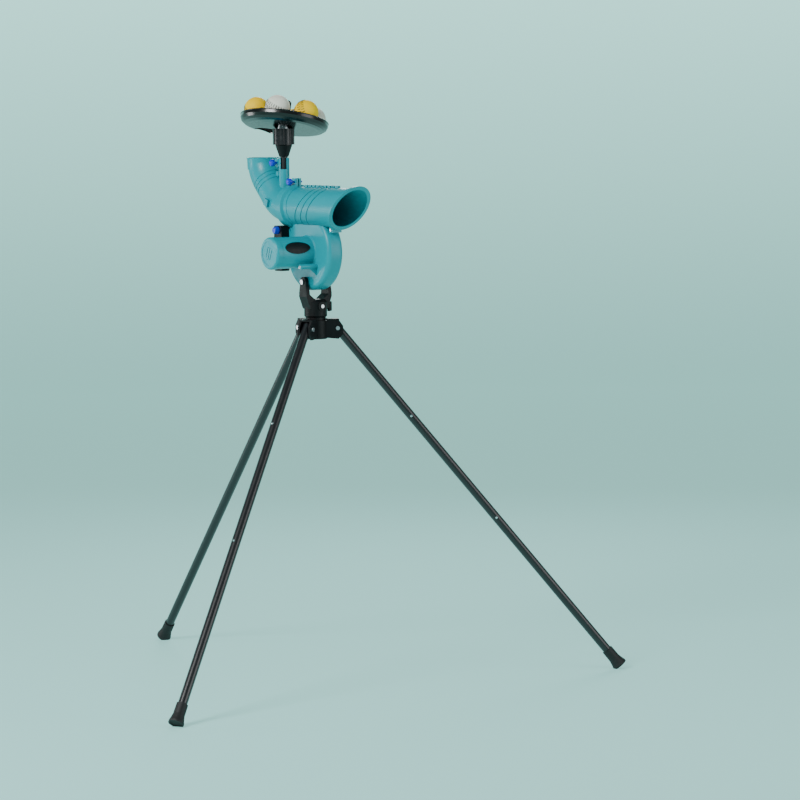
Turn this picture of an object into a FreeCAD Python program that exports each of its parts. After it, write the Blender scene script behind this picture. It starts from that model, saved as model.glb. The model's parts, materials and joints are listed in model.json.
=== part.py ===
import FreeCAD, Part
import math
import os
import re

import Sketcher
from FreeCAD import Placement, Rotation, Vector

# A ball throwing machine: one spinning wheel in a round housing, under a slanted barrel, fed from
# a turning tray of balls, on a fork that pans and tilts on a folding tripod.
# Millimetres. +X is the way the balls leave, +Y the machine's left, +Z up. The origin is on the
# ground, under the middle of the footprint. Sub-parts are built about the tripod's own axis and
# moved forward by tripod_x at the end.

doc = FreeCAD.newDocument("BallMachine")
dims = doc.addObject("Spreadsheet::Sheet", "Dims")

DIMENSIONS = {
    "tripod_x": 210.6,        # tripod axis ahead of the middle of the footprint
    "pivot_height": 981.0,    # leg hinges above the ground
    "pivot_reach": 60.0,      # leg hinges from the tripod axis
    "leg_tilt": 39.1,         # degrees from upright
    "leg_length": 1252.0,     # hinge to the middle of the sole
    "tube_r": 12.5,
    "tube_wall": 1.8,
    "leg_top": 14.0,          # tube above the hinge
    "seam_one": 350.0,        # end of the upper tube, along the leg
    "seam_two": 726.0,        # end of the middle tube
    "spigot": 70.0,           # necked end that goes up into the tube above
    "button_back": 28.0,      # snap button above its seam
    "button_r": 3.5,
    "button_rise": 3.0,       # how far a button stands out of the tube
    "foot_r": 21.0,
    "foot_long": 58.0,
    "pin_r": 3.0,
    "fit": 0.05,              # radial running clearance
    "gap": 0.3,               # between curved faces that don't touch
    "hub_bottom": 951.0,
    "hub_top": 1003.0,
    "hub_core_r": 33.0,
    "ear_wide": 6.0,
    "yoke_bottom": 1003.5,
    "yoke_r": 32.0,
    "yoke_body_top": 1062.0,
    "arm_inside": 31.0,       # inner face of a fork arm from the middle plane
    "arm_thick": 11.0,
    "arm_half": 19.0,         # half the arm's width fore and aft
    "tilt_height": 1111.0,
    "tilt_pin_r": 4.0,
    "pan_pin_r": 8.0,
    "wheel_height": 1194.0,
    "wheel_r": 95.0,
    "rim_r": 75.0,            # wheel hub under the tyre
    "tyre_half": 16.0,
    "shaft_r": 4.0,
    "drum_r": 107.0,
    "drum_half": 26.0,
    "shell": 4.0,             # moulded wall
    "barrel_height": 1318.0,
    "barrel_r": 55.0,
    "barrel_back": -108.0,
    "muzzle_x": 176.0,        # middle of the slanted mouth
    "muzzle_slant": 38.5,     # degrees from square
    "rim_out": 61.0,          # muzzle rim radius
    "collar_r": 61.5,
    "collar_long": 34.0,
    "chute_r": 46.0,
    "chute_wall": 3.5,
    "funnel_x": -255.0,
    "funnel_top": 1453.0,
    "chute_bend": 92.0,       # centre line radius
    "socket_x": -150.0,
    "socket_r": 15.0,
    "stem_r": 10.5,
    "motor_r": 44.0,
    "motor_end": 135.0,       # end of the motor cover from the middle plane
    "cap_long": 18.0,
    "box_x": -108.0,
    "box_half": 19.0,
    "box_low": 1138.0,
    "box_high": 1265.0,
    "box_face": 52.0,         # outer face of the control box from the middle plane
    "knob_height": 1252.0,
    "column_low": 1490.0,
    "column_high": 1535.0,
    "column_r": 30.5,
    "tray_r": 124.0,
    "tray_wall": 3.0,
    "tray_high": 25.0,
    "tray_tilt": 14.8,        # degrees
    "tray_low_side": 115.0,   # where the tray leans to, degrees from straight ahead
    "ball_r": 35.5,
    "pocket_reach": 83.0,     # ball centres from the rotor axis
}
for row, (alias, value) in enumerate(DIMENSIONS.items(), start=1):
    dims.set(f"A{row}", alias)
    dims.set(f"B{row}", str(value))
    dims.setAlias(f"B{row}", alias)
doc.recompute()

ANSWER_CELL = "D1"
parts = []


# ---- helpers: every size and place is a sum of sheet cells, written as text ----

def bind(thing, prop, text):
    """Bind a property to a sum of sheet cells."""
    thing.setExpression(prop, re.sub(r"[a-z_]+", lambda word: f"Dims.{word[0]}"
                                     if word[0] in DIMENSIONS else word[0], str(text)))


def number(text):
    """The value of a sum of sheet cells."""
    dims.set(ANSWER_CELL, f"={text}")
    dims.recompute()
    return float(dims.get(ANSWER_CELL))


def bind_place(thing, x, y, z, rotation=None):
    if rotation is not None:
        thing.Placement = Placement(Vector(), rotation)
    for axis_name, text in zip("xyz", (x, y, z)):
        bind(thing, f"Placement.Base.{axis_name}", text)
    return thing


ALONG = {
    "z": Rotation(),
    "-z": Rotation(Vector(1, 0, 0), 180),
    "x": Rotation(Vector(0, 1, 0), 90),
    "y": Rotation(Vector(1, 0, 0), -90),
    "-y": Rotation(Vector(1, 0, 0), 90),
}


def face_along(thing, rotation):
    """Turn a piece about its own base point, which stays bound to the sheet."""
    thing.Placement = Placement(thing.Placement.Base, rotation)
    return thing


def cylinder(name, radius, height, x=0, y=0, z=0, along="z"):
    rod = doc.addObject("Part::Cylinder", name)
    bind(rod, "Radius", radius)
    bind(rod, "Height", height)
    return bind_place(rod, x, y, z, ALONG[along])


def box(name, size_x, size_y, size_z, x=0, y=0, z=0):
    """A box whose middle is at x, y and whose base is at z."""
    block = doc.addObject("Part::Box", name)
    bind(block, "Length", size_x)
    bind(block, "Width", size_y)
    bind(block, "Height", size_z)
    return bind_place(block, f"({x}) - ({size_x}) / 2", f"({y}) - ({size_y}) / 2", z)


def slab(name, thick, x, z, slant):
    """A wide plate across the barrel, leaning forward by slant, its middle at x, z."""
    size = 420
    plate = doc.addObject("Part::Box", name)
    bind(plate, "Length", thick)
    plate.Width = plate.Height = size
    plate.Placement = Placement(Vector(number(x), 0, number(z)), Rotation(Vector(0, 1, 0), number(slant)))
    plate.Placement = plate.Placement * Placement(Vector(-number(thick) / 2, -size / 2, -size / 2),
                                                  Rotation())
    return plate


def origin_plane(body, role):
    return [plane for plane in body.Origin.OriginFeatures if plane.Role == role][0]


def outline_sketch(body, name, role, corners):
    """A closed outline on one of the body's own planes, each corner held by the sheet."""
    sketch = body.newObject("Sketcher::SketchObject", name)
    sketch.AttachmentSupport = [(origin_plane(body, role), "")]
    sketch.MapMode = "FlatFace"
    points = [Vector(number(across), number(up), 0) for across, up in corners]
    count = len(points)
    for index in range(count):
        sketch.addGeometry(Part.LineSegment(points[index], points[(index + 1) % count]), False)
    for index in range(count):
        sketch.addConstraint(Sketcher.Constraint("Coincident", index, 2, (index + 1) % count, 1))
    for index, corner in enumerate(corners):
        for kind, text, value in zip(("DistanceX", "DistanceY"), corner, points[index]):
            place = sketch.addConstraint(Sketcher.Constraint(kind, index, 1, value))
            bind(sketch, f"Constraints[{place}]", text)
    return sketch


def turned(name, corners, x=0, y=0, z=0, along="z"):
    """A solid of revolution; corners are radius and height along its axis."""
    body = doc.addObject("PartDesign::Body", name)
    sketch = outline_sketch(body, f"{name}_outline", "XZ_Plane", corners)
    turn = body.newObject("PartDesign::Revolution", f"{name}_turn")
    turn.Profile = sketch
    turn.ReferenceAxis = (sketch, ["V_Axis"])
    turn.Angle = 360
    sketch.Visibility = False
    return bind_place(body, x, y, z, ALONG[along])


def plate(name, corners, thick, role, x=0, y=0, z=0):
    """A flat outline padded to both sides of its plane."""
    body = doc.addObject("PartDesign::Body", name)
    sketch = outline_sketch(body, f"{name}_outline", role, corners)
    pad = body.newObject("PartDesign::Pad", f"{name}_pad")
    pad.Profile = sketch
    bind(pad, "Length", thick)
    pad.Midplane = True
    sketch.Visibility = False
    return bind_place(body, x, y, z)


def fuse(name, *pieces):
    joined = doc.addObject("Part::MultiFuse", name)
    joined.Shapes = list(pieces)
    joined.Refine = True
    return joined


def cut(name, base, *tools):
    taken = doc.addObject("Part::Cut", name)
    taken.Base = base
    taken.Tool = tools[0] if len(tools) == 1 else fuse(f"{name}_tools", *tools)
    taken.Refine = True
    return taken


def common(name, one, other):
    shared = doc.addObject("Part::Common", name)
    shared.Base = one
    shared.Tool = other
    return shared


def rounded(name, base, radius, wanted):
    """Fillet the edges that wanted() picks."""
    doc.recompute()
    soft = doc.addObject("Part::Fillet", name)
    soft.Base = base
    soft.Edges = [(place, number(radius), number(radius))
                  for place, edge in enumerate(base.Shape.Edges, start=1) if wanted(edge)]
    return soft


def ring_at(axis, level, radius):
    """Picks whole circles of a radius, at a level along an axis."""
    far, wide = number(level), number(radius)

    def wanted(edge):
        return (hasattr(edge.Curve, "Radius") and abs(edge.Curve.Radius - wide) < 0.01
                and abs(getattr(edge.Curve.Center, axis) - far) < 0.01)
    return wanted


def part(piece, label, spot=None):
    """Name a sub-part and stand it in the machine's frame."""
    holder = doc.addObject("Part::Compound", f"{label}_node")
    holder.Links = [piece]
    holder.Label = label
    shift = Placement(Vector(number("tripod_x"), 0, 0), Rotation())
    holder.Placement = shift * (spot or Placement())
    parts.append(holder)
    return holder


# ---- tripod ----

LEGS = {"front_left": 60.0, "front_right": -60.0, "rear": 180.0}
# Which way each leg's snap buttons face, turned about the leg from its outer side.
BUTTON_TURN = {"front_left": -90.0, "front_right": 0.0, "rear": -90.0}


def leg_spot(azimuth):
    """Leg frame: origin on the hinge, -Z down the leg."""
    around = Placement(Vector(), Rotation(Vector(0, 0, 1), azimuth))
    hinge = Placement(Vector(number("pivot_reach"), 0, number("pivot_height")),
                      Rotation(Vector(0, 1, 0), -number("leg_tilt")))
    return around * hinge


def ear_pair(name, azimuth):
    """Two ears beside a leg, joined by a plate over the tube's top."""
    ear_y = "tube_r + gap + ear_wide / 2"
    outline = [("hub_core_r - 12", "hub_bottom + 4"), ("pivot_reach + 2", "hub_bottom"),
               ("pivot_reach + 15", "hub_bottom + 14"), ("pivot_reach + 15", "hub_top - 16"),
               ("pivot_reach + 4", "hub_top"), ("hub_core_r - 12", "hub_top")]
    pieces = [plate(f"{name}_ear_{side}", outline, "ear_wide", "XZ_Plane", y=f"{sign} * ({ear_y})")
              for side, sign in (("left", 1), ("right", -1))]
    bridge = box(f"{name}_bridge", "pivot_reach - hub_core_r + 16", "2 * (tube_r + gap + ear_wide)", 5,
                 "(pivot_reach + hub_core_r - 8) / 2", 0, "hub_top - 1")
    pin = cylinder(f"{name}_pin_hole", "pin_r + fit", 60, "pivot_reach", -30, "pivot_height", "y")
    solid = cut(f"{name}_ears", fuse(f"{name}_bracket", *pieces, bridge), pin)
    solid.Placement = Placement(Vector(), Rotation(Vector(0, 0, 1), azimuth))
    return solid


hub_core = turned("hub_core", [(0, "hub_bottom"), ("hub_core_r - 3", "hub_bottom"),
                               ("hub_core_r", "hub_bottom + 3"), ("hub_core_r", "hub_top"), (0, "hub_top")])
hub = cut("hub_bored", fuse("hub_cast", hub_core, *[ear_pair(name, azimuth) for name, azimuth in LEGS.items()]),
          cylinder("hub_bore", "pan_pin_r + fit", 60, 0, 0, "hub_top - 40"),
          cylinder("hub_seat", "yoke_r + 2", 10, 0, 0, "hub_top"))
part(hub, "tripod_hub")

bolts = []
for name, azimuth in LEGS.items():
    shank = cylinder(f"{name}_bolt_shank", "pin_r", "2 * (tube_r + gap + ear_wide)", "pivot_reach",
                     "-(tube_r + gap + ear_wide)", "pivot_height", "y")
    head = cylinder(f"{name}_bolt_head", "pin_r + 3", 4, "pivot_reach", "tube_r + gap + ear_wide",
                    "pivot_height", "y")
    nut = cylinder(f"{name}_bolt_nut", "pin_r + 2.5", 4, "pivot_reach", "-(tube_r + gap + ear_wide + 4)",
                   "pivot_height", "y")
    bolt = fuse(f"{name}_bolt", shank, head, nut)
    bolt.Placement = Placement(Vector(), Rotation(Vector(0, 0, 1), azimuth))
    bolts.append(bolt)
bolt_set = doc.addObject("Part::Compound", "leg_bolt_set")
bolt_set.Links = bolts
part(bolt_set, "leg_pivot_bolts")


def leg_tube(name, top, bottom, has_spigot):
    """A tube along -Z with, below the first seam, a necked spigot that goes up into the next tube."""
    inner = "tube_r - tube_wall"
    neck = f"{inner} - gap"
    corners = [("tube_r", f"-({bottom})"), ("tube_r", f"-({top})")]
    if has_spigot:
        corners += [(neck, f"-({top})"), (neck, f"-({top}) + spigot"), (f"{neck} - tube_wall", f"-({top}) + spigot"),
                    (f"{neck} - tube_wall", f"-({top}) - 6"), (inner, f"-({top}) - 8")]
    else:
        corners += [(inner, f"-({top})")]
    corners += [(inner, f"-({bottom})")]
    return turned(name, corners)


def button_hole(name, seam, turn):
    hole = cylinder(name, "button_r + fit", 30, 0, 0, f"-({seam}) + button_back", "x")
    return face_along(hole, Rotation(Vector(0, 0, 1), turn) * ALONG["x"])


def snap_button(name, seam, turn):
    """A domed stud in its bore, with a flange inside the spigot."""
    neck_inside = "tube_r - tube_wall - gap - tube_wall"
    stud = turned(f"{name}_stud", [(0, f"{neck_inside} - 4"), ("button_r + 1", f"{neck_inside} - 4"),
                                   ("button_r + 1", f"{neck_inside} - 1.8"), ("button_r", f"{neck_inside} - 1.8"),
                                   ("button_r", "tube_r + button_rise - 1.4"),
                                   ("button_r - 1.4", "tube_r + button_rise"), (0, "tube_r + button_rise")],
                  0, 0, f"-({seam}) + button_back")
    return face_along(stud, Rotation(Vector(0, 0, 1), turn) * ALONG["x"])


for name, azimuth in LEGS.items():
    spot = leg_spot(azimuth)
    turn = BUTTON_TURN[name]
    hinge_hole = cylinder(f"{name}_hinge_hole", "pin_r + fit", 40, 0, -20, 0, "y")
    upper = cut(f"{name}_upper_cut", leg_tube(f"{name}_upper", "-leg_top", "seam_one", False),
                hinge_hole, button_hole(f"{name}_hole_a", "seam_one", turn))
    middle = cut(f"{name}_middle_cut", leg_tube(f"{name}_middle", "seam_one", "seam_two", True),
                 button_hole(f"{name}_hole_b", "seam_one", turn), button_hole(f"{name}_hole_c", "seam_two", turn))
    lower = cut(f"{name}_lower_cut", leg_tube(f"{name}_lower", "seam_two", "leg_length - 6", True),
                button_hole(f"{name}_hole_d", "seam_two", turn))
    part(upper, f"leg_upper_tube_{name}", spot)
    part(middle, f"leg_middle_tube_{name}", spot)
    part(lower, f"leg_lower_tube_{name}", spot)
    for level, seam in (("upper", "seam_one"), ("lower", "seam_two")):
        part(snap_button(f"{name}_{level}", seam, turn), f"snap_button_{level}_{name}", spot)
    # Bell-shaped rubber foot with a shallow recess in the sole, trimmed level where it meets the ground.
    foot = turned(f"{name}_bell", [
        ("tube_r", "-leg_length + foot_long"), ("tube_r + 3", "-leg_length + foot_long"),
        ("tube_r + 3.4", "-leg_length + foot_long * 0.45"), ("foot_r - 2", "-leg_length + foot_long * 0.2"),
        ("foot_r", "-leg_length + 5"), ("foot_r", "-leg_length"), ("foot_r - 5", "-leg_length"),
        ("foot_r - 6", "-leg_length + 2"), (0, "-leg_length + 2"), (0, "-leg_length + 6"),
        ("tube_r", "-leg_length + 6")])
    placed_ground = doc.addObject("Part::Box", f"{name}_below")
    placed_ground.Length = placed_ground.Width = 2400
    placed_ground.Height = 60
    placed_ground.Placement = spot.inverse() * Placement(Vector(-1200, -1200, -60), Rotation())
    part(cut(f"{name}_foot_cut", foot, placed_ground), f"rubber_foot_{name}", spot)


# ---- yoke ----

yoke_base = turned("yoke_base", [(0, "yoke_bottom"), ("yoke_r - 4", "yoke_bottom"), ("yoke_r - 4", "yoke_bottom + 8"),
                                 ("yoke_r", "yoke_bottom + 12"), ("yoke_r", "yoke_body_top - 8"),
                                 ("yoke_r - 6", "yoke_body_top"), (0, "yoke_body_top")])
pan_pin = cylinder("pan_pin", "pan_pin_r", 38, 0, 0, "yoke_bottom - 38")
arms = []
for side, sign in (("left", 1), ("right", -1)):
    slope = [(f"{sign} * 14", "yoke_body_top - 26"), (f"{sign} * (yoke_r - 2)", "yoke_body_top - 26"),
             (f"{sign} * (arm_inside + arm_thick)", "yoke_body_top + 8"),
             (f"{sign} * (arm_inside + arm_thick)", "tilt_height"), (f"{sign} * arm_inside", "tilt_height"),
             (f"{sign} * arm_inside", "yoke_body_top + 14"), (f"{sign} * 14", "yoke_body_top")]
    arm = plate(f"arm_{side}", slope, "2 * arm_half", "YZ_Plane")
    eye = cylinder(f"eye_{side}", "arm_half - 5", "arm_thick", 0, f"{sign} * arm_inside", "tilt_height",
                   "y" if sign > 0 else "-y")
    arms += [arm, eye]
# The arm's faces narrow towards the eye.
trims = []
for end, sign in (("front", 1), ("back", -1)):
    corners = [(f"{sign} * (arm_half - 5)", "tilt_height + 30"), (f"{sign} * (arm_half - 5)", "tilt_height - 8"),
               (f"{sign} * (arm_half + 1)", "tilt_height - 36"), (f"{sign} * (arm_half + 20)", "tilt_height - 36"),
               (f"{sign} * (arm_half + 20)", "tilt_height + 30")]
    trims.append(plate(f"arm_trim_{end}", corners, 120, "XZ_Plane"))
lock_boss = cylinder("lock_boss", 12, 16, "yoke_r - 14", 0, "yoke_body_top - 19", "x")
wing_boss = cylinder("wing_boss", 9, 14, 0, "yoke_r - 10", "yoke_body_top - 22", "y")
wing_bore = cylinder("wing_bore", "pin_r + fit", 30, 0, 12, "yoke_body_top - 22", "y")
pin_bore = cylinder("tilt_bore", "tilt_pin_r + fit", 140, 0, -70, "tilt_height", "y")
yoke = cut("yoke_cut", fuse("yoke_cast", yoke_base, pan_pin, *arms, lock_boss, wing_boss),
           pin_bore, wing_bore, *trims)
part(yoke, "yoke")

yoke_screw = cylinder("yoke_screw_head", 5, 2.5, "yoke_r + 2", 0, "yoke_body_top - 19", "x")
part(yoke_screw, "yoke_screw")

wing_shank = cylinder("wing_shank", "pin_r", 28, 0, 13, "yoke_body_top - 22", "y")
wing_hub = cylinder("wing_hub", 7, 9, 0, "yoke_r + 4.6", "yoke_body_top - 22", "y")
wing = plate("wing_blade", [("-4", "-14"), (4, "-14"), (8, 14), ("-8", 14)], 5, "XZ_Plane", 0,
             "yoke_r + 13", "yoke_body_top - 22")
wing_tip = box("wing_tip", 5, 12, 26, 0, "yoke_r + 15", "yoke_body_top - 35")
part(fuse("wing_whole", wing_shank, wing_hub, wing, wing_tip), "pan_lock_wing")


# ---- wheel housing, in two moulded halves ----

barrel_hole = fuse("barrel_room", cylinder("barrel_hole", "barrel_r + 0.2", 500, -250, 0, "barrel_height", "x"),
                   cylinder("collar_hole", "collar_r + gap", "collar_long + 20", "barrel_back - 20", 0,
                            "barrel_height", "x"))


def housing_half(side):
    sign, along = (1, "y") if side == "left" else (-1, "-y")
    disc = turned(f"disc_{side}", [(0, 0), ("drum_r", 0), ("drum_r", "drum_half"), (0, "drum_half")],
                  0, 0, "wheel_height", along)
    soft_disc = rounded(f"soft_disc_{side}", disc, 13, ring_at("y", f"{sign} * drum_half", "drum_r"))
    neck = box(f"neck_{side}", 106, "drum_half - 4", 92, -45, f"{sign} * (drum_half - 4) / 2", "wheel_height + 40")
    pivot_boss = cylinder(f"pivot_boss_{side}", 14, "arm_inside - drum_half - gap", 0, f"{sign} * drum_half",
                          "tilt_height", along)
    bearing = cylinder(f"bearing_{side}", 14, 9, 0, f"{sign} * (drum_half - 9)", "wheel_height", along)
    cavity = cylinder(f"cavity_{side}", "drum_r - shell", "drum_half - shell", 0, 0, "wheel_height", along)
    shell_body = cut(f"shell_{side}", fuse(f"outer_{side}", soft_disc, neck, pivot_boss),
                     cavity, barrel_hole)
    return sign, along, fuse(f"housing_solid_{side}", shell_body, bearing)


sign, along, left_shell = housing_half("left")
left = cut("housing_left_cut", left_shell,
           cylinder("shaft_seat_left", "shaft_r + fit", 8, 0, "drum_half - 10", "wheel_height", "y"),
           cylinder("bolt_seat_left", "tilt_pin_r", 20, 0, "drum_half - shell + 1", "tilt_height", "y"))
part(left, "housing_left")

sign, along, right_shell = housing_half("right")
boss = cylinder("screw_boss", 7, 55, 46, "-drum_half + 1", "wheel_height - 38", "-y")
gusset = plate("boss_gusset", [("-drum_half + 1", "wheel_height - 44"), ("-drum_half - 22", "wheel_height - 44"),
                               ("-drum_half + 1", "wheel_height - 64")], 4, "YZ_Plane", 46)
box_mount = box("box_mount", 24, 8, 22, "box_x + 12", "-drum_half + 3.9", "wheel_height + 38")
right = cut("housing_right_cut", fuse("housing_right_full", right_shell, boss, gusset, box_mount),
            cylinder("shaft_hole_right", "shaft_r + 1", 40, 0, -10, "wheel_height", "-y"),
            cylinder("bolt_seat_right", "tilt_pin_r", 20, 0, "-(drum_half - shell + 1)", "tilt_height", "-y"),
            cylinder("boss_bore", 2.5, 40, 46, "-drum_half - 56", "wheel_height - 38", "y"))
part(right, "housing_right")

tilt_bolts = []
for side, sign, along in (("left", 1, "y"), ("right", -1, "-y")):
    start = f"{sign} * (drum_half - shell + 2)"
    shank = cylinder(f"tilt_shank_{side}", "tilt_pin_r", "arm_inside + arm_thick - drum_half + shell - 2 + 1", 0,
                     start, "tilt_height", along)
    head = cylinder(f"tilt_head_{side}", 7, 4, 0, f"{sign} * (arm_inside + arm_thick + 0.6)", "tilt_height", along)
    tilt_bolts.append(fuse(f"tilt_bolt_{side}", shank, head))
tilt_set = doc.addObject("Part::Compound", "tilt_bolt_set")
tilt_set.Links = tilt_bolts
part(tilt_set, "tilt_bolts")


# ---- throwing wheel and its motor ----

shaft = cylinder("shaft_rod", "shaft_r", 78, 0, "drum_half - shell - 2", "wheel_height", "-y")
part(shaft, "motor_shaft")
hub_width = "tyre_half - 2"
wheel_hub = turned("wheel_disc", [("shaft_r", f"-({hub_width})"), (18, f"-({hub_width})"), (18, -7), ("rim_r - 8", -7),
                                 ("rim_r - 8", f"-({hub_width})"), ("rim_r", f"-({hub_width})"),
                                 ("rim_r", hub_width), ("rim_r - 8", hub_width), ("rim_r - 8", 7), (18, 7),
                                 (18, hub_width), ("shaft_r", hub_width)], 0, 0, "wheel_height", "y")
part(wheel_hub, "wheel_hub")
tyre = turned("tyre_ring", [("rim_r", f"-({hub_width})"), ("wheel_r - 3", "-tyre_half"), ("wheel_r", "-tyre_half + 3"),
                            ("wheel_r - 1.5", 0), ("wheel_r", "tyre_half - 3"), ("wheel_r - 3", "tyre_half"),
                            ("rim_r", hub_width)], 0, 0, "wheel_height", "y")
part(tyre, "wheel_tyre")

motor = cut("motor_bored", cylinder("motor_can", 30, 86, 0, "-drum_half - 8", "wheel_height", "-y"),
            cylinder("motor_bore", "shaft_r + fit", 34, 0, "-drum_half", "wheel_height", "-y"))
motor_plate = cut("motor_plate_bored", cylinder("motor_flange", 38, 8, 0, "-drum_half", "wheel_height", "-y"),
                  cylinder("flange_bore", "shaft_r + 1", 12, 0, "-drum_half + 2", "wheel_height", "-y"))
part(fuse("motor_whole", motor, motor_plate), "motor")

cover = turned("cover_tube", [("motor_r - 3", "drum_half"), ("motor_r + 3", "drum_half"), ("motor_r", "drum_half + 4"),
                              ("motor_r - 0.6", "motor_end"), ("motor_r - 3.6", "motor_end")],
               0, 0, "wheel_height", "-y")
part(cover, "motor_cover")
cap = turned("cap_cup", [(0, "motor_end + cap_long"), ("motor_r - 4", "motor_end + cap_long"),
                         ("motor_r - 0.5", "motor_end + cap_long - 2.5"), ("motor_r + 1", "motor_end + cap_long - 6"),
                         ("motor_r + 1", "motor_end"), ("motor_r - 3", "motor_end"),
                         ("motor_r - 3", "motor_end + cap_long - 5"), (0, "motor_end + cap_long - 5")],
             0, 0, "wheel_height", "-y")
cap_recess = cylinder("cap_recess", "motor_r - 11", 3, 0, "-(motor_end + cap_long) - 1.8", "wheel_height", "y")
cap_grooves = []
for index in range(3):
    groove = doc.addObject("Part::Box", f"cap_groove_{index}")
    groove.Length, groove.Width, groove.Height = 2.4, 4, 36 - 6 * abs(index - 1)
    slant = Rotation(Vector(0, 1, 0), 22)
    groove.Placement = Placement(Vector(0, -number("motor_end + cap_long") - 1, number("wheel_height")), slant) * \
        Placement(Vector(10 * (index - 1) - 1.2, 0, -groove.Height.Value / 2), Rotation())
    cap_grooves.append(groove)
part(cut("cap_cut", cap, cap_recess, *cap_grooves), "motor_end_cap")

# Blank oval badge wrapped on the upper front of the motor cover.
badge_turn = 70.0
badge_oval = doc.addObject("Part::Ellipse", "badge_oval")
badge_oval.MajorRadius = 40
badge_oval.MinorRadius = 17
badge_prism = doc.addObject("Part::Extrusion", "badge_prism")
badge_prism.Base = badge_oval
badge_prism.Dir = Vector(0, 0, 60)
badge_prism.Solid = True
badge_prism.Placement = Placement(Vector(0, -84, number("wheel_height")),
                                  Rotation(Vector(0, 1, 0), badge_turn) * Rotation(Vector(0, 0, 1), 90))
badge_sleeve = turned("badge_sleeve", [("motor_r - 0.1", "drum_half + 6"), ("motor_r + 1.6", "drum_half + 6"),
                                       ("motor_r + 1.6", "motor_end - 4"), ("motor_r - 0.1", "motor_end - 4")],
                      0, 0, "wheel_height", "-y")
part(common("badge_common", badge_sleeve, badge_prism), "badge_plate")


# ---- barrel ----

tube = cylinder("barrel_tube", "barrel_r", 360, "barrel_back", 0, "barrel_height", "x")
collar = turned("barrel_collar", [("barrel_r - 2", 0), ("collar_r - 2", 0), ("collar_r", 2), ("collar_r", "collar_long - 6"),
                                  ("barrel_r - 2", "collar_long")], "barrel_back", 0, "barrel_height", "x")
ahead = slab("ahead_of_muzzle", 200, "muzzle_x + 100 / cos(muzzle_slant)", "barrel_height", "muzzle_slant")
rim_slab = slab("rim_slab", 10, "muzzle_x - 5 / cos(muzzle_slant)", "barrel_height", "muzzle_slant")
rim = common("muzzle_rim", cylinder("rim_rod", "rim_out", 400, 20, 0, "barrel_height", "x"), rim_slab)
grooves = []
for index in range(3):
    groove = slab(f"groove_slab_{index}", 2.6, f"-4 + {index} * 28", "barrel_height", "muzzle_slant")
    grooves.append(cut(f"groove_{index}", groove, cylinder(f"groove_core_{index}", "barrel_r - 2", 400, -200, 0,
                                                            "barrel_height", "x")))
seam_groove = turned("seam_groove", [("barrel_r - 1.4", 0), ("barrel_r + 1", 0), ("barrel_r + 1", 2.2),
                                     ("barrel_r - 1.4", 2.2)], "barrel_back + collar_long + 14", 0, "barrel_height", "x")
rail = [box(f"barrel_block_{index}", 13, 9, 10, f"-34 + {index} * 19", 0, "barrel_height + barrel_r - 4")
        for index in range(9)]
lug = box("muzzle_lug", 16, 30, 18, 104, 0, "barrel_height - barrel_r - 13")
ears = []
for side, sign in (("left", 1), ("right", -1)):
    ears.append(box(f"collar_ear_{side}", 24, 6, 26, "barrel_back + 20", f"{sign} * 5", "barrel_height + barrel_r - 2"))
bore = cylinder("barrel_bore", "barrel_r - shell", 500, -200, 0, "barrel_height", "x")
wheel_slot = cylinder("wheel_slot", "wheel_r + 4", "2 * (tyre_half + 3)", 0, "-tyre_half - 3", "wheel_height", "y")
split = box("collar_split", 26, 4, 30, "barrel_back + 20", 0, "barrel_height + barrel_r - 6")
screw_hole = cylinder("collar_screw_hole", "pin_r + fit", 30, "barrel_back + 20", -15,
                      "barrel_height + barrel_r + 14", "y")
barrel = cut("barrel_cut", fuse("barrel_solid", tube, collar, rim, *rail, lug, *ears), bore, ahead, *grooves,
             seam_groove, wheel_slot, split, screw_hole)
part(barrel, "barrel")

pad_block = box("pad_block", 120, 44, 60, 0, 0, "wheel_height + wheel_r + 2 * ball_r - 7")
pad_rod = cylinder("pad_rod", "barrel_r - shell", 400, -200, 0, "barrel_height", "x")
part(common("pad_common", pad_rod, pad_block), "pressure_pad")


# ---- chute with its funnel mouth and the socket for the feeder's stem ----

HALF_ROOT = math.sqrt(0.5)
LEVEL_X = "funnel_x + funnel_top - barrel_height"    # where the chute has come level


def facing(side, down):
    """Turn a piece's own x and y to these directions in the middle plane."""
    across, along = Vector(side[0], 0, side[1]), Vector(down[0], 0, down[1])
    return Rotation(across, along, across.cross(along), "XYZ")


def chute_run(name, radius):
    """Down from the funnel, two eighth turns with a straight between, then level into the barrel."""
    pieces = []
    turns = [("funnel_x + chute_bend", "funnel_top", facing((-1, 0), (0, -1))),
             (LEVEL_X, "barrel_height + chute_bend", facing((-HALF_ROOT, -HALF_ROOT), (HALF_ROOT, -HALF_ROOT)))]
    for place, (x, z, rotation) in enumerate(turns):
        elbow = doc.addObject("Part::Torus", f"{name}_elbow_{place}")
        bind(elbow, "Radius1", "chute_bend")
        bind(elbow, "Radius2", radius)
        elbow.Angle3 = 45
        pieces.append(face_along(bind_place(elbow, x, 0, z), rotation))
    straight = cylinder(f"{name}_straight", radius, f"(funnel_top - barrel_height - chute_bend) / {HALF_ROOT:.9f}",
                        f"funnel_x + chute_bend * {1 - HALF_ROOT:.9f}", 0, f"funnel_top - chute_bend * {HALF_ROOT:.9f}")
    pieces.append(face_along(straight, Rotation(Vector(0, 1, 0), 135)))
    pieces.append(cylinder(f"{name}_level", radius, f"barrel_back + collar_long - ({LEVEL_X})", LEVEL_X, 0,
                           "barrel_height", "x"))
    return fuse(name, *pieces)


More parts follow.
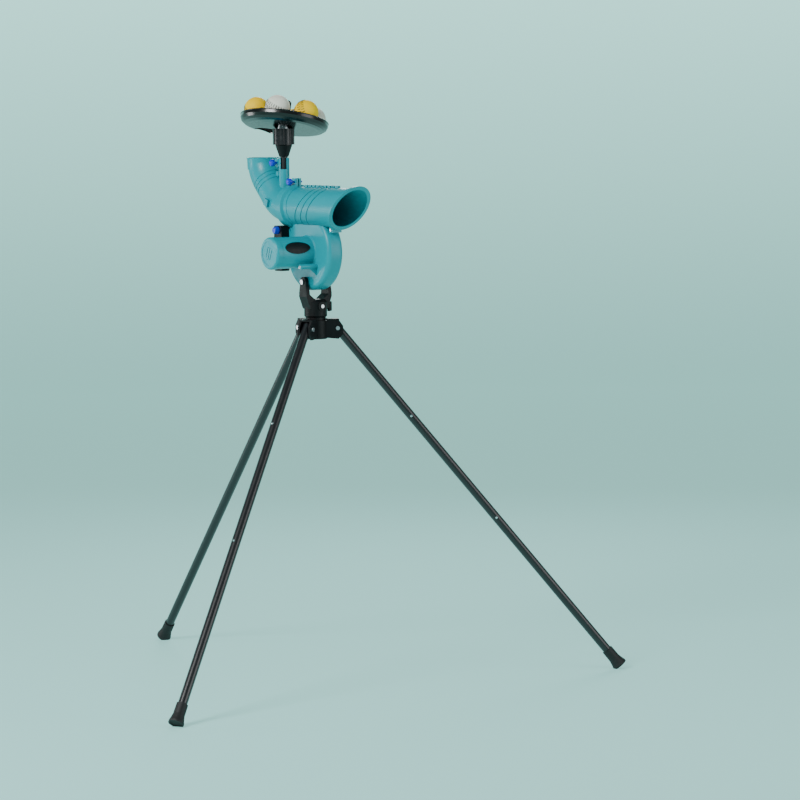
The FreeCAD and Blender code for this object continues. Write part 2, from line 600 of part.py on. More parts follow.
funnel = turned("funnel_lip", [("chute_r - 3", -34), ("chute_r", -34), ("chute_r + 1.5", -4), ("chute_r + 3", 0),
                               ("chute_r - 3", 0)], "funnel_x", 0, "funnel_top")
flange = turned("chute_flange", [("chute_r - 2", -16), ("chute_r + 2", -16), ("barrel_r + 1", -5), ("barrel_r + 1", -0.2),
                                 ("barrel_r - shell - 0.2", -0.2), ("barrel_r - shell - 0.2", "collar_long - 4"),
                                 ("chute_r - 2", "collar_long - 4")], "barrel_back", 0, "barrel_height", "x")
socket = cylinder("stem_socket", "socket_r", "funnel_top - 1340", "socket_x", 0, 1340)
web = box("socket_web", 40, 8, 62, "socket_x - 30", 0, 1342)
clamp = []
for side, sign in (("left", 1), ("right", -1)):
    for level, height, wide in (("top", "funnel_top - 14", 13), ("low", "funnel_top - 46", 8)):
        disc = cylinder(f"clamp_{level}_{side}", wide, 7, "socket_x - 24", f"{sign} * 1.5", height,
                        "y" if sign > 0 else "-y")
        clamp.append(disc)
# The socket's wall is open at the front right, above its lower half.
socket_window = doc.addObject("Part::Box", "socket_window")
socket_window.Length, socket_window.Width, socket_window.Height = 30, 17, 40
socket_window.Placement = (Placement(Vector(number("socket_x"), 0, number("funnel_top") - 32),
                                     Rotation(Vector(0, 0, 1), -40)) * Placement(Vector(0, -8.5, 0), Rotation()))
foot_lug = doc.addObject("Part::Box", "chute_lug")
foot_lug.Length, foot_lug.Width, foot_lug.Height = 18, 14, 20
foot_lug.Placement = Placement(Vector(-178, -54, 1322), Rotation(Vector(0, 1, 0), 20))
chute_solid = fuse("chute_solid", chute_run("chute_outer", "chute_r"), funnel, flange, socket, web, *clamp, foot_lug)
ribs = []
for index in range(3):
    along_lean = number("chute_bend") * HALF_ROOT + 9 * index + 1
    rib = turned(f"chute_groove_{index}", [("chute_r - 1.3", 0), ("chute_r + 2", 0), ("chute_r + 2", 2),
                                           ("chute_r - 1.3", 2)],
                 f"funnel_x + chute_bend * {1 - 2 * HALF_ROOT:.6f} + {along_lean:.3f}", 0,
                 f"funnel_top - {along_lean:.3f}")
    ribs.append(face_along(rib, Rotation(Vector(0, 1, 0), 135)))
chute = cut("chute_cut", chute_solid, chute_run("chute_inner", "chute_r - chute_wall"),
            cylinder("stem_bore", "stem_r + fit", 200, "socket_x", 0, "funnel_top - 80"),
            box("clamp_split", 34, 3, 60, "socket_x - 22", 0, "funnel_top - 56"), socket_window,
            cylinder("clamp_screw_hole", "pin_r + fit", 60, "socket_x - 24", -30, "funnel_top - 14", "y"), *ribs)
part(chute, "chute")


def thumbscrew(name, x, y, z):
    """Knurled head on the right side, shank to the left."""
    shank = cylinder(f"{name}_shank", "pin_r", 36, x, y, z, "y")
    head = turned(f"{name}_head", [(0, 0), (9, 0), (10, 2), (10, 8), (8, 11), (5, 12), (0, 12)], x, y, z, "-y")
    notches = []
    for index in range(8):
        angle = math.radians(45 * index)
        notches.append(cylinder(f"{name}_notch_{index}", 1.6, 20, f"({x}) + {11 * math.cos(angle):.3f}", f"({y}) + 4",
                                f"({z}) + {11 * math.sin(angle):.3f}", "-y"))
    return fuse(f"{name}_whole", shank, cut(f"{name}_knurled", head, *notches))


part(thumbscrew("stem_clamp", "socket_x - 24", -19.0, "funnel_top - 14"), "stem_clamp_screw")
part(thumbscrew("collar_clamp", "barrel_back + 20", -19.0, "barrel_height + barrel_r + 14"), "collar_clamp_screw")

# ---- small screws that hold the shells ----

screw_places = [("boss", 46, "-drum_half - 54", "wheel_height - 38", "-y"),
                ("lug", 104, -15, "barrel_height - barrel_r - 6", "-y")]
for index in range(4):
    angle = math.radians(45 + 90 * index)
    screw_places.append((f"side_{index}", round(72 * math.cos(angle), 2), "drum_half",
                         f"wheel_height + {72 * math.sin(angle):.2f}", "y"))
screws = [cylinder(f"screw_{name}", 4.5, 2.5, x, y, z, along) for name, x, y, z, along in screw_places]
screw_set = doc.addObject("Part::Compound", "screw_set")
screw_set.Links = screws
part(screw_set, "housing_screws")

# ---- control box ----

case = box("control_case", "2 * box_half", "box_face - drum_half - gap", "box_high - box_low", "box_x",
           "-(box_face + drum_half + gap) / 2", "box_low")
soft_case = rounded("soft_case", case, 5, lambda edge: abs(edge.Vertexes[0].Point.y - edge.Vertexes[-1].Point.y) > 1)
switch_hole = box("switch_hole", 15, 16, 22.4, "box_x", "-box_face", "box_low + 51.3")
jack_hole = cylinder("jack_hole", 6, 12, "box_x", "-(box_face + drum_half) / 2", "box_low - 1")
collar_room = cylinder("collar_room", "collar_r + 2 * gap", "collar_long + 20", "barrel_back - 10", 0,
                       "barrel_height", "x")
part(cut("control_cut", soft_case, switch_hole, jack_hole, collar_room,
         cylinder("dial_hole", "pin_r + fit", 12, "box_x", "-box_face + 8", "knob_height", "-y")), "control_box")
dial = fuse("dial_whole", turned("dial_head", [(0, 0), (11, 0), (11, 3), (9, 12), (7.5, 13), (0, 13)], "box_x",
                                 "-box_face - 0.5", "knob_height", "-y"),
            cylinder("dial_shank", "pin_r", 8, "box_x", "-box_face + 7", "knob_height", "-y"))
part(dial, "speed_knob")
rocker = plate("rocker_body", [("-box_face + 3.4", 10), ("-box_face - 1", 10), ("-box_face - 0.2", 0),
                               ("-box_face - 4", -10), ("-box_face + 3.4", -10)], 14, "YZ_Plane", "box_x", 0,
               "box_low + 62.5")
part(rocker, "power_switch")
jack = cut("jack_bored", cylinder("jack_shell", 5.9, 10, "box_x", "-(box_face + drum_half) / 2", "box_low"),
           cut("jack_void", cylinder("jack_open", 3.2, 8, "box_x", "-(box_face + drum_half) / 2", "box_low"),
               cylinder("jack_pin", 1, 8, "box_x", "-(box_face + drum_half) / 2", "box_low + 1")))
part(jack, "power_socket")


# ---- feeder ----

stem = cylinder("stem_rod", "stem_r", "column_low - funnel_top + 79", "socket_x", 0, "funnel_top - 79")
part(cut("stem_tube", stem, cylinder("stem_bore_inner", "stem_r - 2", 150, "socket_x", 0, "funnel_top - 80")),
     "feeder_stem")
adaptor = turned("adaptor_cone", [("stem_r", "funnel_top - column_low + 3"), ("stem_r + 2.5", "funnel_top - column_low + 3"),
                                  ("column_r - 7", -3), ("column_r - 7", 0), ("stem_r", 0)],
                 "socket_x", 0, "column_low")
part(adaptor, "feeder_adaptor")

column_rod = cylinder("column_rod", "column_r", "column_high - column_low", "socket_x", 0, "column_low")
flutes = []
FLUTES = 12
for index in range(FLUTES):
    angle = 2 * math.pi * index / FLUTES
    reach = number("column_r") + 0.8
    flutes.append(cylinder(f"flute_{index}", 2.6, 70, f"socket_x + {reach * math.cos(angle):.3f}",
                           f"{reach * math.sin(angle):.3f}", "column_low - 10"))
column_void = cylinder("column_void", "column_r - 6", "column_high - column_low", "socket_x", 0, "column_low + 3")
low_side = math.radians(number("tray_low_side"))
tray_spot = Placement(Vector(number("socket_x"), 0, number("column_high + 1.5")),
                      Rotation(Vector(-math.sin(low_side), math.cos(low_side), 0), number("tray_tilt")))
tray_under = doc.addObject("Part::Box", "tray_under")
tray_under.Length = tray_under.Width = 300
tray_under.Height = 60
tray_under.Placement = tray_spot * Placement(Vector(-150, -150, 0), Rotation())
part(cut("column_cut", column_rod, column_void, *flutes, tray_under), "feeder_column")

feeder_motor = cut("feeder_motor_cut", cylinder("feeder_can", 17, 30, 0, 0, -30),
                   cylinder("feeder_bore", "pin_r + fit", 20, 0, 0, -14))
part(feeder_motor, "feeder_motor", tray_spot)

tray_dish = turned("tray_dish", [(0, 0), ("tray_r - 24", 0), ("tray_r - 11", 2.5), ("tray_r - 3.5", 8), ("tray_r", 16),
                                 ("tray_r", "tray_high"), ("tray_r - tray_wall", "tray_high"),
                                 ("tray_r - tray_wall", 16.6), ("tray_r - tray_wall - 2.8", 10),
                                 ("tray_r - 12", 5.4), ("tray_r - 24.6", "tray_wall"), (0, "tray_wall")])
drop_hole = cylinder("drop_hole", "ball_r + 1", 60, "-pocket_reach", 0, -20)
drive_hole = cylinder("drive_hole", "pin_r + 2", 20, 0, 0, -10)
part(cut("tray_cut", tray_dish, drop_hole, drive_hole), "ball_tray", tray_spot)

# The rotor stands part way between two stops.
ROTOR_TURN = 11
rotor_spot = tray_spot * Placement(Vector(), Rotation(Vector(0, 0, 1), ROTOR_TURN))
drive = cylinder("drive_rod", "pin_r", 34, 0, 0, -12)
part(drive, "feeder_drive_shaft", rotor_spot)
arms = []
for index in range(6):
    blade = doc.addObject("Part::Box", f"rotor_blade_{index}")
    blade.Length, blade.Width, blade.Height = 70, 5, 24
    blade.Placement = Placement(Vector(), Rotation(Vector(0, 0, 1), 60 * index + 30)) * \
        Placement(Vector(26, -2.5, 12), Rotation())
    arms.append(blade)
rotor_hub = cylinder("rotor_hub", 30, 26, 0, 0, 8)
pockets = []
for index in range(6):
    angle = math.radians(60 * index)
    ball_room = doc.addObject("Part::Sphere", f"pocket_{index}")
    bind(ball_room, "Radius", "ball_r + 0.6")
    bind_place(ball_room, f"pocket_reach * {math.cos(angle):.4f}", f"pocket_reach * {math.sin(angle):.4f}",
               "tray_wall + ball_r + 0.4")
    pockets.append(ball_room)
rotor = cut("rotor_cut", fuse("rotor_star", rotor_hub, *arms), *pockets,
            cylinder("rotor_bore", "pin_r", 30, 0, 0, 0))
part(rotor, "feeder_rotor", rotor_spot)
post = turned("post_turned", [(0, 34), (15, 34), (14, 38), (14, 74), (11, 78), (0, 78)])
part(post, "rotor_post", rotor_spot)

BALLS = {"yellow_one": -120, "white_one": -60, "yellow_two": 0, "white_two": 60, "yellow_three": 120}
for name, azimuth in BALLS.items():
    angle = math.radians(azimuth)
    ball = doc.addObject("Part::Sphere", f"sphere_{name}")
    bind(ball, "Radius", "ball_r")
    bind_place(ball, f"pocket_reach * {math.cos(angle):.4f}", f"pocket_reach * {math.sin(angle):.4f}",
               "tray_wall + ball_r + 0.4")
    part(ball, f"ball_{name}", rotor_spot)


# ---- check and write ----

doc.recompute()
for thing in doc.Objects:
    bad = [state for state in thing.State if state in ("Invalid", "Error")]
    if bad:
        raise RuntimeError(f"{thing.Name} ({thing.Label}) failed: {bad}")
os.makedirs("parts", exist_ok=True)
for node in parts:
    if node.Shape.isNull() or not node.Shape.isValid():
        raise RuntimeError(f"{node.Label} has no valid shape")
    node.Shape.exportStep(f"parts/{node.Label}.step")
whole = Part.makeCompound([node.Shape for node in parts]).BoundBox
print(f"{len(parts)} nodes, box {whole}")
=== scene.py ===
# %% [markdown]
# A ball throwing machine on a folding tripod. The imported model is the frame, and every piece below
# rides on one of its bodies. This file adds the finishes (moulded teal ABS, powder-coated tubes,
# rubber, plated steel), stitched practice balls and a bead on the tray's rim.

# %% Load the frame
import json
import math

import bpy
from mathutils import Matrix, Vector


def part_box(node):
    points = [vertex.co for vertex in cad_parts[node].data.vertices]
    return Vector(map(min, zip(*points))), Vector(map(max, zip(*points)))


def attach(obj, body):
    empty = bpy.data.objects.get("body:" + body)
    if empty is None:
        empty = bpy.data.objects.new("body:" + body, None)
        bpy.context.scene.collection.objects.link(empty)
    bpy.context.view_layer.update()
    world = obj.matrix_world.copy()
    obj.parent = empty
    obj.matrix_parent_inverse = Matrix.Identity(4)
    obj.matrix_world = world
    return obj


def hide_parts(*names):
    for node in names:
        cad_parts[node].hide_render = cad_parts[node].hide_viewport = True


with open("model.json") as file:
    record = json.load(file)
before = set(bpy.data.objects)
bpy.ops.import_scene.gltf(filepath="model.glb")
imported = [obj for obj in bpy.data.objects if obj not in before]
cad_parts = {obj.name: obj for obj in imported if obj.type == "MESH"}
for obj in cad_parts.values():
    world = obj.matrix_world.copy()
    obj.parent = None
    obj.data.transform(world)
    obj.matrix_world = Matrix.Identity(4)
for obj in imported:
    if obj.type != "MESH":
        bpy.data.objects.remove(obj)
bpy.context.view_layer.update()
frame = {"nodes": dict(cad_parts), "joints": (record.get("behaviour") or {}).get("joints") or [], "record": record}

NODES = frame["nodes"]
MM = 0.001
TURN = math.radians(55)     # how far the camera is turned forward from the machine's right side
print("frame loaded:", len(NODES), "nodes")

# %% [markdown]
# Colours are written the way a paint chart gives them, as sRGB hex, and turned to linear here,
# because shaders add and multiply light and need linear values.

# %% Colour helper


def to_linear(hex_code):
    values = [int(hex_code[i:i + 2], 16) / 255 for i in (1, 3, 5)]
    return tuple(v / 12.92 if v <= 0.04045 else ((v + 0.055) / 1.055) ** 2.4 for v in values) + (1.0,)


# %% [markdown]
# A material is a small tree of nodes. One helper adds a node, sets what is given and joins what is
# given, so each finish below reads as a list of its layers.

# %% Node helpers
COLOUR_LOW, COLOUR_HIGH, MIXED_COLOUR = 6, 7, 2     # sockets of a mix node set to colours


def add_node(tree, kind, settings=None, **inputs):
    """Add a node. settings are its own properties; inputs are values or (node, socket) pairs."""
    node = tree.nodes.new(kind)
    for name, value in (settings or {}).items():
        setattr(node, name, value)
    for name, value in inputs.items():
        key = name.replace("_", " ")
        if isinstance(value, tuple) and hasattr(value[0], "outputs"):
            tree.links.new(value[0].outputs[value[1]], node.inputs[key])
        else:
            node.inputs[key].default_value = value
    return node


def new_material(name, **shader):
    """A material with one Principled shader; returns it, its tree and the shader."""
    material = bpy.data.materials.new(name)
    material.use_nodes = True
    tree = material.node_tree
    surface = next(node for node in tree.nodes if node.type == "BSDF_PRINCIPLED")
    for key, value in shader.items():
        surface.inputs[key.replace("_", " ")].default_value = value
    return material, tree, surface


def join(tree, source, target, output=0):
    tree.links.new(source.outputs[output], target)


# %% [markdown]
# Moulded plastic is never one flat colour: the tool's fine spark-eroded grain breaks up its gloss,
# the melt cools unevenly so large faces wander a little in tone, and handled edges polish up. Three
# noises at three real sizes give this: grain, flow and scuffs.

# %% Moulded plastics
GRAIN_MM = 0.9        # real grain is finer; drawn this coarse so that it shows
FLOW_MM = 70.0
SCUFF_MM = 9.0


def moulded(name, colour, deep, roughness, grain=0.25, coat=0.0, sheen=0.5):
    """Injection-moulded plastic: flow marks from colour to deep, scuffed gloss, grain as bump."""
    material, tree, surface = new_material(name, IOR=1.53, Coat_Weight=coat, Coat_Roughness=0.12,
                                           Specular_IOR_Level=sheen)
    place = add_node(tree, "ShaderNodeTexCoord")
    flow = add_node(tree, "ShaderNodeTexNoise", Vector=(place, "Object"),
                    Scale=1000 / FLOW_MM, Detail=3.0)
    tone = add_node(tree, "ShaderNodeMix", {"data_type": "RGBA"}, Factor=(flow, "Fac"))
    tone.inputs[COLOUR_LOW].default_value = to_linear(colour)
    tone.inputs[COLOUR_HIGH].default_value = to_linear(deep)
    join(tree, tone, surface.inputs["Base Color"], MIXED_COLOUR)
    scuff = add_node(tree, "ShaderNodeTexNoise", Vector=(place, "Object"),
                     Scale=1000 / SCUFF_MM, Detail=6.0, Roughness=0.65)
    gloss = add_node(tree, "ShaderNodeMapRange", Value=(scuff, "Fac"), From_Min=0.3, From_Max=0.75,
                     To_Min=roughness - 0.05, To_Max=roughness + 0.1)
    join(tree, gloss, surface.inputs["Roughness"])
    fine = add_node(tree, "ShaderNodeTexNoise", Vector=(place, "Object"),
                    Scale=1000 / GRAIN_MM, Detail=2.0)
    bump = add_node(tree, "ShaderNodeBump", Height=(fine, "Fac"), Strength=grain, Distance=0.3 * MM)
    join(tree, bump, surface.inputs["Normal"])
    return material


teal = moulded("abs_teal_moulded", "#0099A6", "#008E9C", 0.34, 0.12, sheen=0.3)
black_nylon = moulded("glass_filled_nylon_black", "#040406", "#08070B", 0.45, 0.5, sheen=0.22)
tray_black = moulded("abs_black_polished", "#020202", "#040405", 0.22, 0.05, coat=0.15)
column_grey = moulded("abs_charcoal_ribbed", "#0F0F13", "#17171C", 0.28, 0.2)
blue_cap = moulded("acetal_blue", "#0A37D8", "#082DB4", 0.3, 0.1, coat=0.1)
wheel_nylon = moulded("cast_nylon_black", "#1B1B1C", "#232324", 0.5, 0.3)
badge_gloss = moulded("abs_badge_black", "#020203", "#040405", 0.5, 0.1, sheen=0.3)

# %% [markdown]
# The leg tubes are steel under powder coat: the powder melts into a skin with a soft orange-peel
# wave about two millimetres across, satin rather than wet.

# %% Powder coat
ORANGE_PEEL_MM = 2.2
DUST_MM = 30
material, tree, surface = new_material("steel_powder_coat_black", IOR=1.5, Coat_Weight=0.35,
                                       Coat_Roughness=0.22)
powder_coat = material
place = add_node(tree, "ShaderNodeTexCoord")
wave = add_node(tree, "ShaderNodeTexNoise", Vector=(place, "Object"),
                Scale=1000 / ORANGE_PEEL_MM, Detail=3.0)
tone = add_node(tree, "ShaderNodeMix", {"data_type": "RGBA"}, Factor=(wave, "Fac"))
tone.inputs[COLOUR_LOW].default_value = to_linear("#08070B")
tone.inputs[COLOUR_HIGH].default_value = to_linear("#0E0D13")
join(tree, tone, surface.inputs["Base Color"], MIXED_COLOUR)
dust = add_node(tree, "ShaderNodeTexNoise", Vector=(place, "Object"),
                Scale=1000 / DUST_MM, Detail=5.0)
gloss = add_node(tree, "ShaderNodeMapRange", Value=(dust, "Fac"), To_Min=0.3, To_Max=0.46)
join(tree, gloss, surface.inputs["Roughness"])
bump = add_node(tree, "ShaderNodeBump", Height=(wave, "Fac"), Strength=0.25, Distance=0.2 * MM)
join(tree, bump, surface.inputs["Normal"])

# %% [markdown]
# Rubber scatters almost all its gloss. The feet carry ground dust, the tyre and the pad a sanded
# surface; a fine speckle in colour and bump shows both.

# %% Rubbers


def rubber(name, colour, dusty, speck_mm, roughness):
    """Matte rubber, speckled from its own colour to dusty."""
    material, tree, surface = new_material(name, Roughness=roughness, IOR=1.52)
    place = add_node(tree, "ShaderNodeTexCoord")
    speck = add_node(tree, "ShaderNodeTexNoise", Vector=(place, "Object"),
                     Scale=1000 / speck_mm, Detail=5.0)
    ramp = add_node(tree, "ShaderNodeMapRange", Value=(speck, "Fac"), From_Min=0.45, From_Max=0.8)
    tone = add_node(tree, "ShaderNodeMix", {"data_type": "RGBA"}, Factor=(ramp, 0))
    tone.inputs[COLOUR_LOW].default_value = to_linear(colour)
    tone.inputs[COLOUR_HIGH].default_value = to_linear(dusty)
    join(tree, tone, surface.inputs["Base Color"], MIXED_COLOUR)
    bump = add_node(tree, "ShaderNodeBump", Height=(speck, "Fac"), Strength=0.5, Distance=0.4 * MM)
    join(tree, bump, surface.inputs["Normal"])
    return material


foot_rubber = rubber("epdm_rubber_foot", "#08080A", "#1A181A", 3.0, 0.62)
tyre_rubber = rubber("polyurethane_tyre", "#1E1D1C", "#3A3836", 2.0, 0.7)
pad_rubber = rubber("sponge_rubber_pad", "#17181A", "#26282B", 2.5, 0.8)

# %% [markdown]
# Zinc-plated screws are bright but not mirrors: the plating is a crystal skin with a fine mottle.
# The snap buttons are turned and polished, so their gloss is tight.

# %% Plated steel
CRYSTAL_MM = 1.5


def plated(name, colour, roughness, spread):
    """Bare or plated metal whose gloss wanders by spread."""
    material, tree, surface = new_material(name, Metallic=1.0)
    surface.inputs["Base Color"].default_value = to_linear(colour)
    place = add_node(tree, "ShaderNodeTexCoord")
    mottle = add_node(tree, "ShaderNodeTexNoise", Vector=(place, "Object"),
                      Scale=1000 / CRYSTAL_MM, Detail=4.0)
    gloss = add_node(tree, "ShaderNodeMapRange", Value=(mottle, "Fac"),
                     To_Min=roughness, To_Max=roughness + spread)
    join(tree, gloss, surface.inputs["Roughness"])
    return material


zinc = plated("steel_zinc_plated", "#C9CCD1", 0.22, 0.2)
polished = plated("steel_polished_button", "#E4E6EA", 0.08, 0.1)

# %% [markdown]
# The record says which material slot each node takes its finish from, so the finishes are handed
# out by slot.

# %% Put the finishes on the frame
FINISH = {
    "black_plastic": black_nylon, "black_tube": powder_coat, "foot_rubber": foot_rubber,
    "steel": zinc, "button_steel": polished, "teal_plastic": teal, "badge_black": badge_gloss,
    "wheel_plastic": wheel_nylon, "tyre_rubber": tyre_rubber, "pad_rubber": pad_rubber,
    "blue_plastic": blue_cap, "tray_black": tray_black, "grey_plastic": column_grey,
}
SLOT_OF = {entry["node"]: entry["material_slot"] for entry in frame["record"]["subparts"]}
for node_name, thing in NODES.items():
    finish = FINISH.get(SLOT_OF[node_name])
    if finish:
        thing.data.materials.clear()
        thing.data.materials.append(finish)
print("finishes:", len(FINISH))

# %% [markdown]
# From here pieces are modelled. Operators act on whatever is selected, so everything is deselected
# before each new primitive, and each piece ends with its place in its mesh and its object at the
# origin.

# %% Modelling helpers


def clear_selection():
    bpy.ops.object.select_all(action="DESELECT")


def settle(piece, name, finish, body):
    """Bake a piece's place into its mesh, name it, finish it and let it ride on a body."""
    clear_selection()
    piece.select_set(True)
    bpy.context.view_layer.objects.active = piece
    bpy.ops.object.transform_apply(location=True, rotation=True, scale=True)
    piece.name = name
    piece.data.name = name
    piece.data.materials.clear()
    piece.data.materials.append(finish)
    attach(piece, body)
    return piece


def middle_of(node):
    low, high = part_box(node)
    return (low + high) / 2


# %% [markdown]
# Practice balls of this kind are moulded in polyurethane with a leather ball's look: a raised seam
# round the middle, six rows of stitches along it and a skin of shallow dimples. The ball is a
# sphere whose seam band is lifted by moving its rings out. A stitch is a short bevelled cylinder,
# modelled once, copied round and joined to the ball.

# %% Ball finishes
DIMPLE_MM = 3.0


def ball_skin(name, colour, deep):
    """Dimpled polyurethane, with painted shade darkening the dimples."""
    material, tree, surface = new_material(name, Roughness=0.55, IOR=1.45, Specular_IOR_Level=0.25)
    place = add_node(tree, "ShaderNodeTexCoord")
    cells = add_node(tree, "ShaderNodeTexVoronoi", {"feature": "SMOOTH_F1"},
                     Vector=(place, "Object"), Scale=1000 / DIMPLE_MM)
    # The dimples get the deep colour where the bump sinks: painted shade in the hollows.
    tone = add_node(tree, "ShaderNodeMix", {"data_type": "RGBA"}, Factor=(cells, "Distance"))
    tone.inputs[COLOUR_LOW].default_value = to_linear(deep)
    tone.inputs[COLOUR_HIGH].default_value = to_linear(colour)
    join(tree, tone, surface.inputs["Base Color"], MIXED_COLOUR)
    bump = add_node(tree, "ShaderNodeBump", Height=(cells, "Distance"),
                    Strength=0.35, Distance=0.6 * MM)
    join(tree, bump, surface.inputs["Normal"])
    return material


# Each ball's second colour is the painted shade laid in its dimples.
ball_yellow = ball_skin("polyurethane_ball_yellow", "#FFDA00", "#F8C200")
ball_white = ball_skin("polyurethane_ball_white", "#EDEDE2", "#D3D3C6")
stitch_dark, tree, surface = new_material("waxed_thread_dark", Roughness=0.7)
surface.inputs["Base Color"].default_value = to_linear("#17130F")

# %% Model the balls
BALL_R = (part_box("ball_white_one")[1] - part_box("ball_white_one")[0]).z / 2
SEAM_HALF = 3.2 * MM       # half the raised band
SEAM_RISE = 0.35 * MM
STITCHES = 30              # round one row
STITCH_ROWS = (-8.2, -5.0, -1.8, 1.8, 5.0, 8.2)     # distances from the seam's plane, mm
STITCH_R = 0.9 * MM
STITCH_LONG = 4.2 * MM
STITCH_ROUNDING = 0.2 * MM
STITCH_LEAN = math.radians(35)
SKIN_TUCK = 0.1 * MM       # how far the band stays inside the plain ball


def seamed_ball(name, centre, finish, tilt):
    """A ball with a lifted seam band and rows of stitches."""
    clear_selection()
    bpy.ops.mesh.primitive_uv_sphere_add(segments=64, ring_count=96, radius=BALL_R - SEAM_RISE)
    ball = bpy.context.object
    for vertex in ball.data.vertices:
        if abs(vertex.co.z) < SEAM_HALF:
            vertex.co = vertex.co.normalized() * (BALL_R - SKIN_TUCK)
    bpy.ops.object.shade_smooth()
    clear_selection()
    bpy.ops.mesh.primitive_cylinder_add(vertices=6, radius=STITCH_R, depth=STITCH_LONG)
    stitch = bpy.context.object
    bpy.ops.object.mode_set(mode="EDIT")
    bpy.ops.mesh.select_all(action="SELECT")
    bpy.ops.mesh.bevel(offset=STITCH_ROUNDING, segments=1)
    bpy.ops.object.mode_set(mode="OBJECT")
    stitch.data.materials.append(stitch_dark)
    copies = []
    for row in STITCH_ROWS:
        height = row * MM
        reach = math.sqrt((BALL_R - SEAM_RISE) ** 2 - height ** 2)
        for index in range(STITCHES):
            turn = 2 * math.pi * (index + 0.5 * (row > 0)) / STITCHES
            copy = stitch.copy()
            copy.data = stitch.data.copy()
            bpy.context.collection.objects.link(copy)
            lean = STITCH_LEAN if row > 0 else -STITCH_LEAN
            copy.matrix_world = (Matrix.Rotation(turn, 4, "Z")
                                 @ Matrix.Translation((reach, 0, height))
                                 @ Matrix.Rotation(lean, 4, "X"))
            copies.append(copy)
    bpy.data.objects.remove(stitch)
    ball.data.materials.append(finish)
    clear_selection()
    for copy in copies:
        copy.select_set(True)
    ball.select_set(True)
    bpy.context.view_layer.objects.active = ball
    bpy.ops.object.join()
    ball.matrix_world = Matrix.Translation(centre) @ tilt
    clear_selection()
    ball.select_set(True)
    bpy.ops.object.transform_apply(location=True, rotation=True, scale=True)
    ball.name = ball.data.name = name
    return ball


# Each ball's seam faces its own way: the seam circle's axis, as parts right, near and up.
VIEW_RIGHT = Vector((math.cos(TURN), math.sin(TURN), 0))
VIEW_NEAR = Vector((VIEW_RIGHT.y, -VIEW_RIGHT.x, 0))
SEAM_AXES = {
    "yellow_one": (0.1, 0.45, 0.9), "white_one": (0.45, 0.15, 0.9),
    "yellow_two": (0.85, 0.25, 0.35), "white_two": (0.3, 0.2, 0.9),
    "yellow_three": (0.2, 0.7, 0.6),
}
for key, (to_right, to_near, to_top) in SEAM_AXES.items():
    seam_axis = VIEW_RIGHT * to_right + VIEW_NEAR * to_near + Vector((0, 0, to_top))
    tilt = Vector((0, 0, 1)).rotation_difference(seam_axis).to_matrix().to_4x4()
    colour = "yellow" if "yellow" in key else "white"
    ball = seamed_ball(f"stitched_ball_{key}", middle_of(f"ball_{key}"),
                       ball_yellow if colour == "yellow" else ball_white, tilt)
    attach(ball, "rotor")
    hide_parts(f"ball_{key}")
print("balls:", len(SEAM_AXES), "radius", round(BALL_R, 4))

# %% [markdown]
# The tray's rim is rolled over into a bead that stiffens it and catches the light. It lies in the
# tray's tilted plane, so its ring is placed and turned by the tilt of the rotor's axis.

# %% Tray rim bead
rotor_joint = next(joint for joint in frame["joints"] if joint["name"] == "rotor_turn")
tray_foot = Vector(rotor_joint["pos_m"])
tray_up = Vector(rotor_joint["axis"]).normalized()
tray_turn = Vector((0, 0, 1)).rotation_difference(tray_up).to_matrix().to_4x4()
TRAY_R = 124 * MM
RIM_HEIGHT = 25 * MM
BEAD_R = 1.7 * MM
BEAD_INSET = 0.5 * MM
clear_selection()
bpy.ops.mesh.primitive_torus_add(major_segments=128, minor_segments=14,
                                 major_radius=TRAY_R - BEAD_INSET, minor_radius=BEAD_R)
bead = bpy.context.object
bpy.ops.object.shade_smooth()
bead.matrix_world = Matrix.Translation(tray_foot + tray_up * RIM_HEIGHT) @ tray_turn
settle(bead, "tray_rim_bead", tray_black, "feeder")

# %% [markdown]
# Four soft boxes light the machine: a key high on the near left, a wide fill ahead of the muzzle,
# one from behind for the edges and a small low one for the legs. The floor sweeps up behind the
# machine into a wall, so no horizon shows in the main view. The sweep glows, more as it rises, and
# so stays pale while the lamps are set for the machine alone.

# %% Floor, sky and lights
BACKDROP = "#B0F0E6"
SKY_STRENGTH = 0.28
SWEEP_FRONT = -14.0        # where the floor starts, metres
SWEEP_FLAT = 9.0           # where it begins to rise
SWEEP_R = 4.0
SWEEP_TOP = 7.0
SWEEP_WIDE = 24.0
ARC_STEPS = 18
FLOOR_GLOW, WALL_GLOW = 0.6, 1.5
GLOW_RISE = 2.5            # height at which the wall's glow is reached, metres
profile = [(SWEEP_FRONT, 0.0), (SWEEP_FLAT, 0.0)]
for step in range(1, ARC_STEPS + 1):
    rise_angle = math.radians(step * 90 / ARC_STEPS)
    profile.append((SWEEP_FLAT + SWEEP_R * math.sin(rise_angle),
                    SWEEP_R - SWEEP_R * math.cos(rise_angle)))
profile.append((SWEEP_FLAT + SWEEP_R, SWEEP_TOP))
clear_selection()
bpy.ops.mesh.primitive_grid_add(x_subdivisions=1, y_subdivisions=len(profile) - 1, size=1)
floor = bpy.context.object
floor.name = floor.data.name = "studio_sweep"
for vertex in floor.data.vertices:
    run, rise = profile[round((vertex.co.y + 0.5) * (len(profile) - 1))]
    vertex.co = (vertex.co.x * SWEEP_WIDE, run, rise)
floor.rotation_euler.z = TURN
bpy.ops.object.transform_apply(location=True, rotation=True, scale=True)
bpy.ops.object.shade_smooth()
floor_paint, tree, surface = new_material("studio_sweep_paint", Roughness=0.9)
surface.inputs["Base Color"].default_value = to_linear("#7FB5B4")
surface.inputs["Emission Color"].default_value = to_linear(BACKDROP)
place = add_node(tree, "ShaderNodeTexCoord")
apart = add_node(tree, "ShaderNodeSeparateXYZ", Vector=(place, "Object"))
glow = add_node(tree, "ShaderNodeMapRange", Value=(apart, "Z"),
                From_Min=0.0, From_Max=GLOW_RISE, To_Min=FLOOR_GLOW, To_Max=WALL_GLOW)
join(tree, glow, surface.inputs["Emission Strength"])
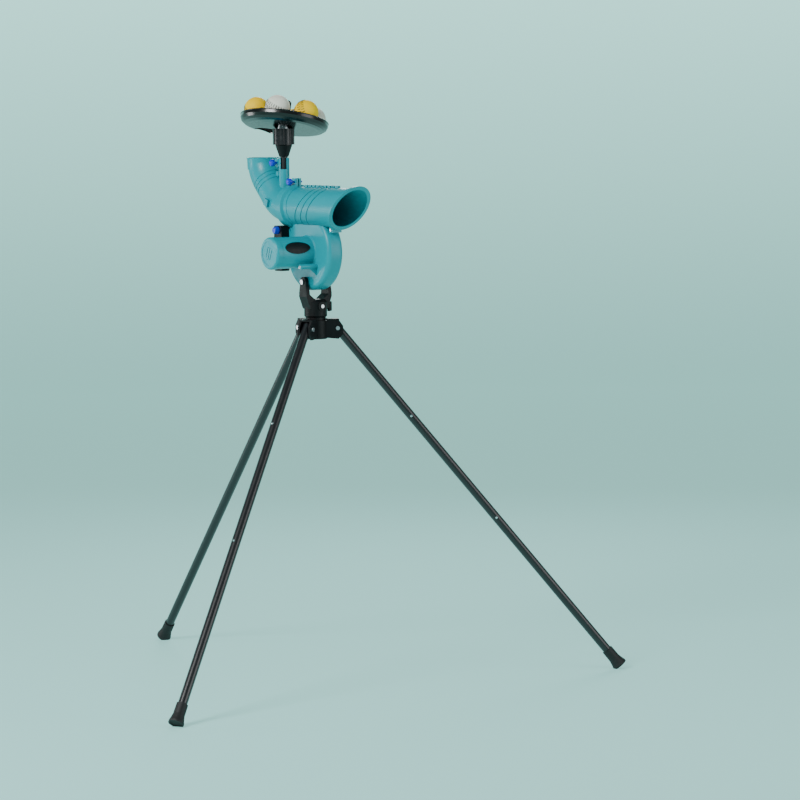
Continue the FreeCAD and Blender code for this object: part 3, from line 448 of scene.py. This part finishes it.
floor.data.materials.append(floor_paint)

world = bpy.data.worlds.new("studio_sky")
bpy.context.scene.world = world
world.use_nodes = True
sky = next(node for node in world.node_tree.nodes if node.type == "BACKGROUND")
sky.inputs["Color"].default_value = to_linear("#CDEBEC")
sky.inputs["Strength"].default_value = SKY_STRENGTH


def soft_box(name, place, target, size, power):
    """A round lamp, size metres across, turned to its target."""
    lamp_data = bpy.data.lights.new(name, "AREA")
    lamp_data.shape = "DISK"
    lamp_data.size = size
    lamp_data.energy = power
    lamp = bpy.data.objects.new(name, lamp_data)
    bpy.context.collection.objects.link(lamp)
    lamp.location = place
    lamp.rotation_euler = (Vector(target) - Vector(place)).to_track_quat("-Z", "Y").to_euler()


HEAD, LEG = (0.2, 0, 1.2), (0.1, -0.3, 0.6)     # what the lamps point at, metres
soft_box("key_box", (1.2, -3.6, 3.4), HEAD, 1.6, 190)
soft_box("fill_box", (3.2, 1.6, 1.6), HEAD, 2.4, 40)
soft_box("rim_box", (-2.2, 2.2, 2.8), HEAD, 1.4, 50)
soft_box("leg_box", (-2.4, -2.6, 0.9), LEG, 1.2, 30)

# %% [markdown]
# The camera stands ten metres off with a long lens, a little above the machine's top and looking
# slightly down, turned 55 degrees forward from the machine's right side.

# %% Camera
PITCH = math.radians(5.12)
LEAN = math.radians(-0.68)
DISTANCE = 9.747           # metres, as are the two below
ASIDE = 0.232
HEIGHT = 1.650
LENS, SENSOR = 157.7, 36   # mm
tripod_axis = Vector(next(joint for joint in frame["joints"] if joint["name"] == "pan")["pos_m"])
right = VIEW_RIGHT
ahead = -VIEW_NEAR
look = ahead * math.cos(PITCH) - Vector((0, 0, 1)) * math.sin(PITCH)
up = right.cross(look)
across = right * math.cos(LEAN) + up * math.sin(LEAN)
upward = up * math.cos(LEAN) - right * math.sin(LEAN)
camera_data = bpy.data.cameras.new("camera")
camera_data.lens = LENS
camera_data.sensor_width = SENSOR
camera = bpy.data.objects.new("camera", camera_data)
bpy.context.collection.objects.link(camera)
turned = Matrix((across, upward, -look)).transposed().to_4x4()
standing = (Vector((tripod_axis.x, tripod_axis.y, HEIGHT))
            + right * ASIDE - ahead * DISTANCE)
camera.matrix_world = Matrix.Translation(standing) @ turned
bpy.context.scene.camera = camera
